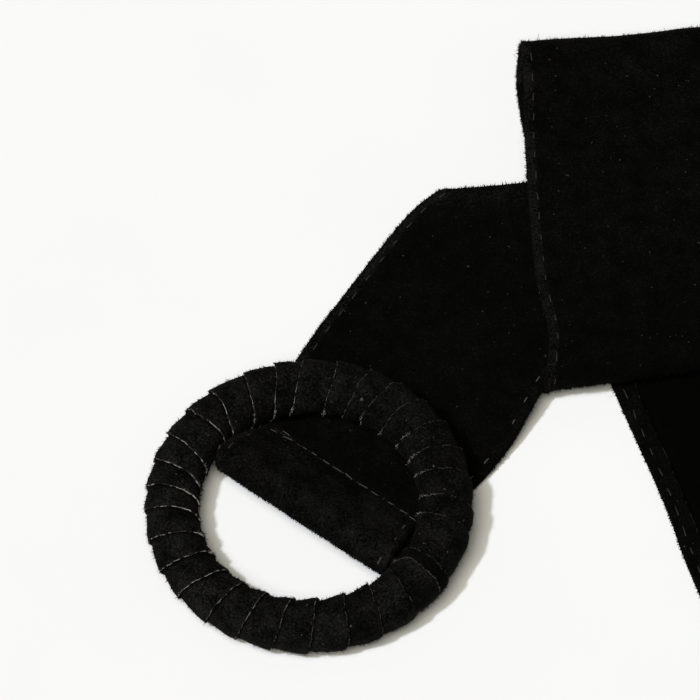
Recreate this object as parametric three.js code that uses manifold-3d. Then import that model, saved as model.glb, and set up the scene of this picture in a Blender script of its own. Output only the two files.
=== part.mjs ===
// A wide suede belt lying folded on a flat surface. Its round buckle is a hard ring with a centre bar,
// wound all round with a strip of suede. The strap is looped over the bar, leaves the ring towards the back,
// folds under itself, comes up over its own edge, runs to the back again and ends in a plain tip.
// Millimetres, +Z up, seen from -Y in normal use. The origin is under the middle of the belt's box.
import * as THREE from 'three';
import { mergeVertices } from 'three/addons/utils/BufferGeometryUtils.js';
import Module from 'manifold-3d';

// Place of the ring's middle in the part's frame
const RING_X = -55.5;
const RING_Y = -26.29;

// Buckle: a hard ring with a centre bar, and the suede strip wound round it
const RING_R = 28.9;
const CORE_R = 3.9;
const BAR_R = 1.4;
const WRAP_R = 5.6;
const WRAP_CAVITY_R = 4.2;
const WRAP_TURNS = 30;
const WRAP_STEP = 0.4;
const BAR_ANGLE = -37.3;
const TILT = 3.07;
const FIT_GAP = 0.3;

// Strap: a suede face whose edges are turned to the back, and a backing panel between the two hems
const HALF_WIDTH = 25;
const SUEDE = 1;
const LAYER_GAP = 0.3;
const HALF_THICK = SUEDE + LAYER_GAP / 2;
const HEM = 5;
const TIP_AT = 425;
const BACKING_AT = 30;

// The ring leans on the strap behind the bar, and its front touches the surface
const rad = THREE.MathUtils.degToRad;
const RING_Z = WRAP_R + RING_R * Math.sin(rad(TILT));
const ringHeight = (a) => RING_Z + a * Math.tan(rad(TILT));

// Heading of the belt's centreline before it is folded, by the distance s along it from the bar
const HEADINGS = [
  { s: -30, deg: 52.7 },
  { s: 18, deg: 52.7 },
  { s: 30, deg: 54.2 },
  { s: 60, deg: 55.7 },
  { s: 95, deg: 57.5 },
  { s: 145, deg: 64.0 },
  { s: 175, deg: 66.3 },
  { s: 205, deg: 64.0 },
  { s: 232, deg: 65.0 },
  { s: 258, deg: 63.5 },
  { s: 300, deg: 52.5 },
  { s: 345, deg: 51.0 },
  { s: 600, deg: 51.0 },
];

// The three folds: a point on the outermost line, the line's direction, and the way the belt runs into it.
// skew is how far the line leans from square across the belt. before and after are the stretch that it bends.
const FOLDS = [
  { x: 27.1, y: 81.1, along: -3.9, out: 86.1, s: 97.7, skew: 0.54, before: 3.2, after: 5.4 },
  { x: 50.8, y: 29.7, along: 10.8, out: -79.2, s: 149.8, skew: 0.125, before: 5.4, after: 11.6 },
  { x: 44.9, y: 115.4, along: 5.2, out: 95.2, s: 237.1, skew: 0, before: 4.2, after: 8.6 },
];

// The first fold's line is bowed: how far it runs out at each place along it, on the layers that it joins
const BOW = [
  { u: -8, out: -1.2 },
  { u: 2, out: -1 },
  { u: 10, out: -0.3 },
  { u: 19, out: 0.9 },
  { u: 30, out: 1 },
  { u: 54, out: 0 },
];
const BOW_REACH = 9;
const BOW_UNTIL = 130;

// Half widths of the strap, which is squeezed inside the ring, pushed over where the rounded fold comes up
// beside it, and gathered a little at the folds
const WIDTHS = [
  { s: -23, left: 17.5, right: 17.5 },
  { s: -18, left: 18.2, right: 18 },
  { s: -15, left: 18.8, right: 21 },
  { s: -9, left: 20.6, right: 22 },
  { s: -5, left: 22.7, right: 22.7 },
  { s: 2, left: 22.7, right: 22.7 },
  { s: 6, left: 22, right: 21.2 },
  { s: 10, left: 21.6, right: 19.8 },
  { s: 14, left: 22.4, right: 20.2 },
  { s: 20, left: 24, right: 21.6 },
  { s: 28, left: 26, right: 23.2 },
  { s: 40, left: 27, right: 23.7 },
  { s: 57, left: 27.1, right: 21.8 },
  { s: 75, left: 26.7, right: 23.8 },
  { s: 80, left: 25.7, right: 24.6 },
  { s: 86, left: 23, right: 25 },
  { s: 92, left: 22, right: 25 },
  { s: 100, left: 23.4, right: 25 },
  { s: 112, left: 25, right: 25 },
  { s: 148, left: 24.5, right: 25 },
  { s: 160, left: 22.9, right: 25 },
  { s: 172, left: 24.7, right: 25 },
  { s: 185, left: 24.6, right: 25 },
  { s: 208, left: 24.2, right: 25 },
  { s: 220, left: 23.4, right: 25 },
  { s: 231, left: 23, right: 25 },
  { s: 237, left: 23.4, right: 25 },
  { s: 245, left: 25, right: 25 },
  { s: 272, left: 24.5, right: 25 },
  { s: 312, left: 22.8, right: 25 },
  { s: 342, left: 22.1, right: 25 },
  { s: 352, left: 22.2, right: 25 },
  { s: 362, left: 22.9, right: 25 },
  { s: 390, left: 23.1, right: 25 },
];

// Heights of the strap's upper side over the surface, on the stretch that leaves the ring
const LEFT_EDGE = [
  { a: 29, top: 2.3 },
  { a: 51, top: 3.1 },
  { a: 71, top: 5.2 },
  { a: 82, top: 6.4 },
  { a: 92, top: 7.4 },
  { a: 112, top: 8.2 },
];
const RIGHT_EDGE = [
  { a: 28, top: 2.3 },
  { a: 35, top: 2.9 },
  { a: 41.5, top: 4.3 },
  { a: 47, top: 6.2 },
  { a: 52, top: 7.6 },
  { a: 62, top: 8.3 },
  { a: 112, top: 8.6 },
];
// Heights of the top layer's upper side, from its rounded front fold to its back fold
const TOP_LAYER = [
  { y: 20, left: 12.4, right: 10.4 },
  { y: 42, left: 12.4, right: 11.4 },
  { y: 80, left: 12.0, right: 12.0 },
  { y: 97, left: 10.4, right: 10.4 },
  { y: 120, left: 9.2, right: 9.2 },
];
// The left edge of the lowest layer, over which the layer above it rises
const LOWEST_EDGE = [
  { y: -22, x: 82.6 },
  { y: 32, x: 64 },
  { y: 109, x: 44.4 },
];
const UNDER_LAYER = { high: 3.75, low: 1.45, run: 22 };

// The strap slopes down from the bar to the surface, and the loose end under it stops past the cross stitches.
// The ring's tube holds it down only from a little past the bar.
const LOOP_R = BAR_R + FIT_GAP + HALF_THICK;
const LOOP_CLEAR = 6;
const SLOPE = rad(27.5);
const FLAP_END = 12;
const FLAP_FLAT = 8;
const FLAP_FALL = 0.11;

const clamp = (x, lo, hi) => Math.min(hi, Math.max(lo, x));
const unit = (deg) => [Math.cos(rad(deg)), Math.sin(rad(deg))];
const AXIS = unit(BAR_ANGLE + 90);
const ACROSS = unit(BAR_ANGLE + 180);

// Reads a column of a table by its first column, straight between the rows
function lookUp(table, key, column, at) {
  const last = table.length - 1;
  let i = 0;
  while (i < last - 1 && at > table[i + 1][key]) i += 1;
  const lower = table[i];
  const upper = table[i + 1];
  const share = clamp((at - lower[key]) / (upper[key] - lower[key]), 0, 1);
  return lower[column] + (upper[column] - lower[column]) * share;
}

// The same with the corners of the table rounded over a short stretch
function lookUpSoft(table, key, column, at, soft) {
  const steps = [-1, -0.5, 0, 0.5, 1];
  const sum = steps.reduce((total, k) => total + lookUp(table, key, column, at + k * soft), 0);
  return sum / steps.length;
}

// The lower and the higher of two heights, with a soft corner of the given size
const softMin = (x, y, k) => -k * Math.log(Math.exp(-x / k) + Math.exp(-y / k));
const softMax = (x, y, k) => -softMin(-x, -y, k);

// The unfolded centreline as a chain of short straight steps
const CHAIN_STEP = 0.5;
const CHAIN = [[0, 0]];
for (let s = 0; s < TIP_AT + 20; s += CHAIN_STEP) {
  const [x, y] = CHAIN[CHAIN.length - 1];
  const [dx, dy] = unit(lookUp(HEADINGS, 's', 'deg', s + CHAIN_STEP / 2));
  CHAIN.push([x + dx * CHAIN_STEP, y + dy * CHAIN_STEP]);
}

// How much the strap is squeezed on the side of v
const halfShare = (s, v) => lookUpSoft(WIDTHS, 's', v < 0 ? 'right' : 'left', s, 3) / HALF_WIDTH;

// A point of the flat belt, s along it and v to its left, in the unfolded plan
function unfolded(s, v) {
  const heading = lookUpSoft(HEADINGS, 's', 'deg', s, 6);
  const [cos, sin] = unit(heading);
  const half = halfShare(s, v);
  const place = clamp(s / CHAIN_STEP, 0, CHAIN.length - 1.001);
  const i = Math.floor(place);
  const share = place - i;
  const x = CHAIN[i][0] * (1 - share) + CHAIN[i + 1][0] * share;
  const y = CHAIN[i][1] * (1 - share) + CHAIN[i + 1][1] * share;
  return [x - v * half * sin, y + v * half * cos];
}

// Heights of the middle of each layer, in the order in which the belt runs through them
function leavingLayer([x, y]) {
  const a = x * AXIS[0] + y * AXIS[1];
  const v = x * ACROSS[0] + y * ACROSS[1];
  const share = clamp((v + HALF_WIDTH) / (2 * HALF_WIDTH), 0, 1);
  const left = lookUpSoft(LEFT_EDGE, 'a', 'top', a, 5);
  const right = lookUpSoft(RIGHT_EDGE, 'a', 'top', a, 3);
  const ground = left * share + right * (1 - share);
  const start = RING_Z + LOOP_R * Math.cos(SLOPE) + HALF_THICK;
  const slope = start - (a - LOOP_R * Math.sin(SLOPE)) * Math.tan(SLOPE);
  const falling = a > 40 ? ground : softMax(slope, ground, 0.5);
  const reach = WRAP_R + 0.9;
  const off = Math.abs(Math.hypot(a, v) - RING_R);
  const dip = Math.sqrt(Math.max(0, reach * reach - off * off));
  const beside = Math.max(0, off - reach) * 3 + Math.max(0, LOOP_CLEAR - a);
  const tube = ringHeight(a) - dip + beside;
  const free = falling - HALF_THICK;
  return Math.max(HALF_THICK, softMin(free, tube - HALF_THICK + 0.2, 0.35));
}

function underLayer([x, y]) {
  const edge = lookUp(LOWEST_EDGE, 'y', 'x', y);
  const t = clamp((edge - x) / UNDER_LAYER.run, 0, 1);
  return UNDER_LAYER.high - (UNDER_LAYER.high - UNDER_LAYER.low) * t * t * (3 - 2 * t);
}

function topLayer([x, y]) {
  const left = lookUpSoft(TOP_LAYER, 'y', 'left', y, 6);
  const right = lookUpSoft(TOP_LAYER, 'y', 'right', y, 6);
  const share = clamp((x - 48) / 50, 0, 1);
  return left * (1 - share) + right * share - HALF_THICK;
}

const lowestLayer = () => HALF_THICK;
const LAYERS = [leavingLayer, underLayer, topLayer, lowestLayer];

// How far a point near the first fold is moved out with the bow of the fold's line
function bowAt([x, y]) {
  const fold = FOLDS[0];
  const e = unit(fold.along);
  const n = unit(fold.out);
  const u = (x - fold.x) * e[0] + (y - fold.y) * e[1];
  const t = (x - fold.x) * n[0] + (y - fold.y) * n[1];
  const out = lookUpSoft(BOW, 'u', 'out', u, 3) * Math.exp(-((t / BOW_REACH) ** 2));
  return [out * n[0], out * n[1]];
}

// Carries a flat point through the folds: each bends the belt half round a cylinder along its line
function folded(s, v) {
  let q = unfolded(s, v);
  let z = leavingLayer(q);
  for (const [k, fold] of FOLDS.entries()) {
    const e = unit(fold.along);
    const n = unit(fold.out);
    const dx = q[0] - fold.x;
    const dy = q[1] - fold.y;
    const u = dx * e[0] + dy * e[1];
    const line = [fold.x + u * e[0], fold.y + u * e[1]];
    const r = Math.abs(LAYERS[k + 1](line) - LAYERS[k](line)) / 2;
    const t0 = dx * n[0] + dy * n[1];
    const t = t0 + r;
    if (t <= 0 || s + fold.skew * v < fold.s - 30) break;
    const turn = Math.min(Math.PI, t / r);
    const reached = -r + r * Math.sin(turn) - Math.max(0, t - Math.PI * r);
    q = [q[0] + (reached - t0) * n[0], q[1] + (reached - t0) * n[1]];
    const share = (1 - Math.cos(turn)) / 2;
    z = LAYERS[k](q) * (1 - share) + LAYERS[k + 1](q) * share;
    if (turn < Math.PI) break;
  }
  const bow = s < BOW_UNTIL ? bowAt(q) : [0, 0];
  return [q[0] + bow[0], q[1] + bow[1], z];
}

// The loop round the bar and the loose end under the strap, in the upright plane along the strap
const LOOP_TOP = LOOP_R * Math.sin(SLOPE);
const LOOP_TURN = Math.PI * 1.5 - (Math.PI / 2 - SLOPE);
const LOOP_END = LOOP_TOP - LOOP_R * LOOP_TURN;

function looped(s, v) {
  const half = halfShare(s, v);
  let a;
  let z;
  if (s > LOOP_END) {
    const angle = Math.PI / 2 - SLOPE + (LOOP_TOP - s) / LOOP_R;
    a = LOOP_R * Math.cos(angle);
    z = RING_Z + LOOP_R * Math.sin(angle);
  } else {
    a = LOOP_END - s;
    const bend = Math.max(0, a - FLAP_FLAT);
    z = RING_Z - LOOP_R - a * FLAP_FALL - bend * (Math.tan(SLOPE) - FLAP_FALL);
  }
  return [a * AXIS[0] + v * half * ACROSS[0], a * AXIS[1] + v * half * ACROSS[1], z];
}

// A point of the belt's middle, by s along it, v to its left
const middle = (s, v) => (s < LOOP_TOP ? looped(s, v) : folded(s, v));

// A point w above the middle, towards the suede face
function beltPoint(s, v, w) {
  const h = 0.05;
  const p = new THREE.Vector3(...middle(s, v));
  const along = new THREE.Vector3(...middle(s + h, v)).sub(new THREE.Vector3(...middle(s - h, v)));
  const side = new THREE.Vector3(...middle(s, v + h)).sub(new THREE.Vector3(...middle(s, v - h)));
  return p.addScaledVector(along.cross(side).normalize(), w);
}

// Stations along the belt: close together in the loop and the folds, wide apart where it lies flat
function stations() {
  const list = [];
  const run = (from, to, step) => {
    const count = Math.max(1, Math.round((to - from) / step));
    for (let i = 0; i < count; i += 1) list.push(from + ((to - from) * i) / count);
  };
  run(LOOP_END - FLAP_END, LOOP_END, 3.3);
  run(LOOP_END, LOOP_TOP, 1.2);
  run(LOOP_TOP, 32, 2.3);
  let from = 32;
  for (const fold of FOLDS) {
    run(from, fold.s - fold.before, 6);
    run(fold.s - fold.before, fold.s + fold.after, (fold.before + fold.after) / 8);
    from = fold.s + fold.after;
  }
  run(from, TIP_AT - HEM, 10);
  list.push(TIP_AT - HEM, TIP_AT - HEM + LAYER_GAP, TIP_AT);
  return list;
}

// How far the cross lines lean at a station: they lie along each fold, and turn evenly between the folds
const FLAT_FROM = 34;
const SKEWS = [
  { s: FLAT_FROM, skew: 0 },
  ...FOLDS.flatMap(({ s, skew, before, after }) => [
    { s: s - before - 3, skew },
    { s: s + after + 1, skew },
  ]),
  { s: TIP_AT, skew: 0 },
];

// Joins rings of points, one ring a station, into one closed body
function bodyFromRings(rings) {
  const count = rings[0].length;
  const positions = rings.flat().flatMap((p) => [p.x, p.y, p.z]);
  const index = [];
  for (let i = 0; i < rings.length - 1; i += 1) {
    for (let j = 0; j < count; j += 1) {
      const a = i * count + j;
      const b = i * count + ((j + 1) % count);
      index.push(a, a + count, b, b, a + count, b + count);
    }
  }
  return { positions, index, count };
}

// Closes both ends of a strip body with the section's own outline, cut into triangles that run its way round
function stripGeometry(rings, outline) {
  const { positions, index, count } = bodyFromRings(rings);
  const last = (rings.length - 1) * count;
  const isSameWay = ([a, b, c]) => {
    const three = [outline[a], outline[b], outline[c]];
    return THREE.ShapeUtils.isClockWise(three) === THREE.ShapeUtils.isClockWise(outline);
  };
  for (const triangle of THREE.ShapeUtils.triangulateShape([...outline], [])) {
    const [a, b, c] = isSameWay(triangle) ? triangle : [...triangle].reverse();
    index.push(a, b, c);
    index.push(last + b, last + a, last + c);
  }
  return geometryOf(positions, index);
}

function geometryOf(positions, index) {
  const geometry = new THREE.BufferGeometry();
  geometry.setAttribute('position', new THREE.Float32BufferAttribute(positions, 3));
  geometry.setIndex(index);
  return geometry;
}

// Cross section of the suede: the face, its rounded edges and the two hems turned to the back
const edgePoints = [
  [HALF_WIDTH - 0.7, HALF_THICK],
  [HALF_WIDTH - 0.15, HALF_THICK * 0.6],
  [HALF_WIDTH, 0],
  [HALF_WIDTH - 0.15, -HALF_THICK * 0.6],
  [HALF_WIDTH - 0.7, -HALF_THICK],
];
const FACE_POINTS = [-16, -8, 0, 8, 16];
const FLOOR_POINTS = [10, 0, -10];

function suedeSection(floor) {
  const mirrored = edgePoints.map(([v, w]) => [-v, w]).reverse();
  return [
    ...FACE_POINTS.map((v) => [v, HALF_THICK]),
    ...edgePoints,
    [HALF_WIDTH - HEM, -HALF_THICK],
    [HALF_WIDTH - HEM, floor],
    ...FLOOR_POINTS.map((v) => [v, floor]),
    [HEM - HALF_WIDTH, floor],
    [HEM - HALF_WIDTH, -HALF_THICK],
    ...mirrored,
  ];
}

// Cross section of the backing panel, which lies between the hems
function backingSection() {
  const half = HALF_WIDTH - HEM - LAYER_GAP;
  const across = [-half, ...[...FLOOR_POINTS].reverse(), half];
  const upper = across.map((v) => [v, HALF_THICK - SUEDE - LAYER_GAP]);
  const lower = [...across].reverse().map((v) => [v, -HALF_THICK]);
  return [...upper, ...lower];
}

// Sweeps a section along the belt through some of its stations
function sweep(list, sectionAt) {
  const rings = list.map((s) => {
    const lean = lookUp(SKEWS, 's', 'skew', s);
    return sectionAt(s).map(([v, w]) => beltPoint(s - lean * v, v, w));
  });
  return stripGeometry(rings, sectionAt(list[0]).map(([v, w]) => new THREE.Vector2(v, w)));
}

// The suede wound round the ring: each turn rises over the one before it and drops at its cut edge
function wrapGeometry() {
  const around = 12;
  const stages = [
    { share: 0, rise: 0 },
    { share: 0.5, rise: 0.6 },
    { share: 0.94, rise: 1 },
  ];
  const rings = [];
  for (let turn = 0; turn < WRAP_TURNS; turn += 1) {
    for (const { share, rise } of stages) {
      const ring = [];
      for (let j = 0; j <= around; j += 1) {
        const phi = (2 * Math.PI * j) / around;
        const theta = (2 * Math.PI * (turn + share + j / around)) / WRAP_TURNS;
        const r = WRAP_R - WRAP_STEP * (1 - rise);
        const out = RING_R + r * Math.cos(phi);
        ring.push(new THREE.Vector3(out * Math.cos(theta), out * Math.sin(theta), r * Math.sin(phi)));
      }
      rings.push(ring);
    }
  }
  const columns = around + 1;
  const positions = rings.flat().flatMap((p) => [p.x, p.y, p.z]);
  const index = [];
  for (let i = 0; i < rings.length; i += 1) {
    const next = (i + 1) % rings.length;
    for (let j = 0; j < around; j += 1) {
      const a = i * columns + j;
      const b = next * columns + j;
      index.push(a, b, a + 1, b, b + 1, a + 1);
    }
  }
  return geometryOf(positions, index);
}

const wasm = await Module();
wasm.setup();

// A closed geometry as a solid that can be joined and cut
function solidFrom(geometry) {
  const bare = geometry.clone();
  bare.deleteAttribute('normal');
  bare.deleteAttribute('uv');
  const merged = mergeVertices(bare, 1e-4);
  return new wasm.Manifold(
    new wasm.Mesh({
      numProp: 3,
      vertProperties: new Float32Array(merged.attributes.position.array),
      triVerts: new Uint32Array(merged.index.array),
    }),
  );
}

function geometryFrom(solid) {
  const mesh = solid.getMesh();
  return geometryOf(Array.from(mesh.vertProperties), Array.from(mesh.triVerts));
}

// A round bar through the ring, along the bar's direction
function barGeometry(radius, length) {
  const bar = new THREE.CylinderGeometry(radius, radius, length, 12);
  bar.rotateZ(Math.PI / 2);
  bar.rotateZ(rad(BAR_ANGLE));
  return bar;
}

function frameGeometry() {
  const ring = solidFrom(new THREE.TorusGeometry(RING_R, CORE_R, 8, 44));
  const bar = solidFrom(barGeometry(BAR_R, 2 * RING_R));
  return geometryFrom(ring.add(bar));
}

function windingGeometry() {
  const outer = solidFrom(wrapGeometry());
  const cavity = solidFrom(new THREE.TorusGeometry(RING_R, WRAP_CAVITY_R, 8, 44));
  const holes = solidFrom(barGeometry(BAR_R + FIT_GAP, 2 * RING_R));
  return geometryFrom(outer.subtract(cavity).subtract(holes));
}

const suede = { color: 0x161514, roughness: 0.95, metalness: 0 };
const backing = { color: 0x0e0e0e, roughness: 0.9, metalness: 0 };
const alloy = { color: 0x6f6e6a, roughness: 0.45, metalness: 1 };

function namedMesh(name, geometry, finish) {
  geometry.computeVertexNormals();
  const mesh = new THREE.Mesh(geometry, new THREE.MeshStandardMaterial(finish));
  mesh.name = name;
  return mesh;
}

// The buckle, tilted about its bar so that its back lies on the strap
const buckle = new THREE.Group();
buckle.add(namedMesh('buckle_frame', frameGeometry(), alloy));
buckle.add(namedMesh('ring_wrap', windingGeometry(), suede));
buckle.position.set(0, 0, RING_Z);
buckle.quaternion.setFromAxisAngle(new THREE.Vector3(-ACROSS[0], -ACROSS[1], 0), rad(TILT));

// The strap, whose end hem closes the channel at the tip, and the backing between its hems
const OPEN_FLOOR = HALF_THICK - SUEDE;
const STATIONS = stations();
const HEM_AT = TIP_AT - HEM;
const BACKED = STATIONS.filter((s) => s > BACKING_AT && s < HEM_AT);
const suedeAt = (s) => suedeSection(s > HEM_AT ? -HALF_THICK + 0.05 : OPEN_FLOOR);
const strap = new THREE.Group();
strap.add(namedMesh('strap', sweep(STATIONS, suedeAt), suede));
strap.add(namedMesh('strap_backing', sweep([...BACKED, HEM_AT - LAYER_GAP], backingSection), backing));

const belt = new THREE.Group();
belt.add(buckle, strap);
belt.position.set(RING_X, RING_Y, 0);

export default belt;
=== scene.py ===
# %% [markdown]
# # A wide suede belt, lying folded
# The belt is black suede on a pale surface. Its buckle is a ring wound with a strip of suede, and the strap
# is looped over a bar inside it. The hard part comes from the CAD frame. The suede is made here. Each piece
# is a flat grid that is carried to its place, because suede is cut flat first and then folded.

import math
import random

import bmesh
import bpy
import numpy as np
from mathutils import Matrix, Vector


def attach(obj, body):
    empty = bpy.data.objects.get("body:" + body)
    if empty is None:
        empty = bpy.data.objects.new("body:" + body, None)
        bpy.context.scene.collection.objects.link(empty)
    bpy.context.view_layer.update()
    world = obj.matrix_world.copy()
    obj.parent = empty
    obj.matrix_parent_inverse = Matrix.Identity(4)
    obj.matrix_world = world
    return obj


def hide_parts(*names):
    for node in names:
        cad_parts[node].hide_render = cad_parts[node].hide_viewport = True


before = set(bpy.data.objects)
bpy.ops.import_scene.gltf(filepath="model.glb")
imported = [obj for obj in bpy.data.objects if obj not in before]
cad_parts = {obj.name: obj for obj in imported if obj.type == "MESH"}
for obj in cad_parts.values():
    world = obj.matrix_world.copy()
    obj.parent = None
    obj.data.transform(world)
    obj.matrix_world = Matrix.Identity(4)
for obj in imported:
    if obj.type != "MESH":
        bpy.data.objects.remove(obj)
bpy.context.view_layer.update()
MM = 0.001
rad = math.radians
print("nodes:", sorted(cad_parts))

# %% [markdown]
# ## The measures of the belt
# The lengths are millimetres and the angles degrees, and nearly all are the CAD model's. Only the loop is a
# little wider at its right here, and the second and third fold are bowed. s runs along the belt from the
# bar, v across it to the left, and w up from its middle. A table is a dictionary of columns.


# %% The tables
def table(names, *rows):
    """A short table as a dictionary of its columns."""
    return dict(zip(names.split(), np.array(rows, float).T))


# The ring, its wound tube, and the bar in it. The ring leans on the strap, so it is tilted.
RING_X, RING_Y = -55.5, -26.29
RING_R, WRAP_R, BAR_R, FIT_GAP = 28.9, 5.6, 1.4, 0.3
BAR_ANGLE, TILT = -37.3, 3.07
HALF_WIDTH, SUEDE, HALF_THICK, HEM = 25, 1, 1.15, 5
TIP_AT, BACKING_AT = 425, 30
RING_Z = WRAP_R + RING_R * math.sin(rad(TILT))

# Which way the belt runs at s before it is folded
HEADINGS = table(
    "s deg",
    (-30, 52.7), (18, 52.7), (30, 54.2), (60, 55.7), (95, 57.5), (145, 64.0), (175, 66.3),
    (205, 64.0), (232, 65.0), (258, 63.5), (300, 52.5), (345, 51.0), (600, 51.0),
)
# A point on each fold's line, the ways along the line and out over it, and the fold's place on the belt. It
# leans by skew from square across, and before and after say how much of the belt it bends.
FOLDS = table(
    "x y along out s skew before after",
    (27.1, 81.1, -3.9, 86.1, 97.7, 0.54, 3.2, 5.4),
    (50.8, 29.7, 10.8, -79.2, 149.8, 0.125, 5.4, 11.6),
    (44.9, 115.4, 5.2, 95.2, 237.1, 0, 4.2, 8.6),
)
# How far each fold's line is bowed out at u along it. A bow acts near its line, up to s = BOW_UNTIL.
BOWS = (
    table("u out", (-8, -1.2), (2, -1), (10, -0.3), (19, 0.9), (30, 1), (54, 0)),
    table("u out", (-6, -1.1), (4, -0.9), (14, -0.2), (20, 0)),
    table("u out", (-8, 0.5), (10, 0.4), (18, 0), (25, 0), (36, 0.7), (54, 0.9)),
)
BOW_REACH, BOW_UNTIL = 9, (130, 200, 290)
# Half widths of the strap, which is squeezed in the ring and gathered at the folds
WIDTHS = table(
    "s left right",
    (-23, 17.5, 19.3), (-21, 17.8, 20.3), (-17, 18.4, 22.2), (-13, 19.3, 22.6), (-9, 20.6, 22.6),
    (-5, 22.7, 22.7), (2, 22.7, 22.7), (6, 22, 21.2), (10, 21.6, 19.8), (14, 22.4, 20.2),
    (20, 24, 21.6), (28, 26, 23.2), (40, 27, 23.7), (57, 27.1, 21.8), (75, 26.7, 23.8),
    (80, 25.7, 24.6), (86, 23, 25), (92, 22, 25), (100, 23.4, 25), (112, 25, 25), (148, 24.5, 25),
    (160, 22.9, 25), (172, 24.7, 25), (185, 24.6, 25), (208, 24.2, 25), (220, 23.4, 25),
    (231, 23, 25), (237, 23.4, 25), (245, 25, 25), (272, 24.5, 25), (312, 22.8, 25),
    (342, 22.1, 25), (352, 22.2, 25), (362, 22.9, 25), (390, 23.1, 25),
)
# Heights of both edges of the stretch that leaves the ring, a mm from the bar, and of the top layer
LEFT_EDGE = table("a top", (29, 2.3), (51, 3.1), (71, 5.2), (82, 6.4), (92, 7.4), (112, 8.2))
RIGHT_EDGE = table(
    "a top", (28, 2.3), (35, 2.9), (41.5, 4.3), (47, 6.2), (52, 7.6), (62, 8.3), (112, 8.6)
)
TOP_LAYER = table(
    "y left right", (20, 12.4, 10.4), (42, 12.4, 11.4), (80, 12, 12), (97, 10.4, 10.4), (120, 9.2, 9.2)
)
TOP_FROM, TOP_SPAN = 48, 50
# The left edge of the lowest layer, where the layer above it comes down
LOWEST_EDGE = table("y x", (-22, 82.6), (32, 64), (109, 44.4))
UNDER_HIGH, UNDER_LOW, UNDER_RUN = 3.75, 1.45, 22

# The loop round the bar, the slope down from it, and the loose end under that
LOOP_R = BAR_R + FIT_GAP + HALF_THICK
SLOPE = rad(27.5)
LOOP_TOP = LOOP_R * math.sin(SLOPE)
LOOP_END = LOOP_TOP - LOOP_R * (math.pi + SLOPE)
FLAP_END, FLAP_FLAT, FLAP_FALL = 12, 8, 0.11
# The tube presses on the strap from LOOP_CLEAR on, and from PILE_FROM on the strap lies on the pile
LOOP_CLEAR, TUBE_CLEAR, PILE_FROM = 6, 0.9, 40
print("strap from", round(LOOP_END - FLAP_END, 1), "to", TIP_AT, "mm")

# %% [markdown]
# ## Folding a flat belt
# A belt can be folded by hand in an editor, or by a cloth simulation. Here every point of the flat belt is
# carried through the folds by a formula: first along the turning centreline, then half round a cylinder at
# each fold. The whole belt is worked out at once with arrays, and it lies nearly where the CAD solid does.


# %% Reading the tables
def look_up(columns, key, column, at):
    """A column read by its key, straight between the rows."""
    return np.interp(at, columns[key], columns[column])


def look_up_soft(columns, key, column, at, soft):
    """The same, with the corners rounded over a short stretch."""
    return sum(look_up(columns, key, column, at + k * soft) for k in (-1, -0.5, 0, 0.5, 1)) / 5


def soft_min(x, y, k):
    """The lower of two heights, rounded where they cross. The next function gives the higher."""
    return -k * np.logaddexp(-x / k, -y / k)


def soft_max(x, y, k):
    return k * np.logaddexp(x / k, y / k)


def unit(degrees):
    """The direction at an angle, as x and y."""
    return math.cos(rad(degrees)), math.sin(rad(degrees))


AXIS = unit(BAR_ANGLE + 90)
ACROSS = unit(BAR_ANGLE + 180)

# %% The unfolded plan
CHAIN_STEP = 0.5
CHAIN_S = np.arange(0, TIP_AT + 20, CHAIN_STEP)
CHAIN_TURN = np.radians(look_up(HEADINGS, "s", "deg", CHAIN_S + CHAIN_STEP / 2))
CHAIN_X = np.concatenate([[0], np.cumsum(np.cos(CHAIN_TURN)) * CHAIN_STEP])
CHAIN_Y = np.concatenate([[0], np.cumsum(np.sin(CHAIN_TURN)) * CHAIN_STEP])
print("points of the unfolded middle line:", len(CHAIN_X))


def half_share(s, v):
    """How much the strap is squeezed on the side of v."""
    left = look_up_soft(WIDTHS, "s", "left", s, 3)
    right = look_up_soft(WIDTHS, "s", "right", s, 3)
    return np.where(v < 0, right, left) / HALF_WIDTH


def unfolded(s, v):
    """The plan place of a point before the belt is folded."""
    heading = np.radians(look_up_soft(HEADINGS, "s", "deg", s, 6))
    place = np.clip(s / CHAIN_STEP, 0, len(CHAIN_X) - 1.001)
    x = np.interp(place, np.arange(len(CHAIN_X)), CHAIN_X)
    y = np.interp(place, np.arange(len(CHAIN_Y)), CHAIN_Y)
    side = v * half_share(s, v)
    return x - side * np.sin(heading), y + side * np.cos(heading)


# %% The heights of the four layers
def leaving_layer(x, y):
    """The stretch that leaves the ring, down from the bar, under the ring and up onto the pile."""
    a = x * AXIS[0] + y * AXIS[1]
    v = x * ACROSS[0] + y * ACROSS[1]
    share = np.clip((v + HALF_WIDTH) / (2 * HALF_WIDTH), 0, 1)
    left = look_up_soft(LEFT_EDGE, "a", "top", a, 5)
    right = look_up_soft(RIGHT_EDGE, "a", "top", a, 3)
    ground = left * share + right * (1 - share)
    start = RING_Z + LOOP_R * math.cos(SLOPE) + HALF_THICK
    slope = start - (a - LOOP_TOP) * math.tan(SLOPE)
    falling = np.where(a > PILE_FROM, ground, soft_max(slope, ground, 0.5))
    reach = WRAP_R + TUBE_CLEAR
    off = np.abs(np.hypot(a, v) - RING_R)
    dip = np.sqrt(np.maximum(0, reach**2 - off**2))
    beside = np.maximum(0, off - reach) * 3 + np.maximum(0, LOOP_CLEAR - a)
    tube = RING_Z + a * math.tan(rad(TILT)) - dip + beside
    lowest = soft_min(falling - HALF_THICK, tube - HALF_THICK + 0.2, 0.35)
    return np.maximum(HALF_THICK, lowest)


def under_layer(x, y):
    """The stretch under the top layer, which comes down beside the lowest one."""
    edge = look_up(LOWEST_EDGE, "y", "x", y)
    t = np.clip((edge - x) / UNDER_RUN, 0, 1)
    return UNDER_HIGH - (UNDER_HIGH - UNDER_LOW) * t * t * (3 - 2 * t)


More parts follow.
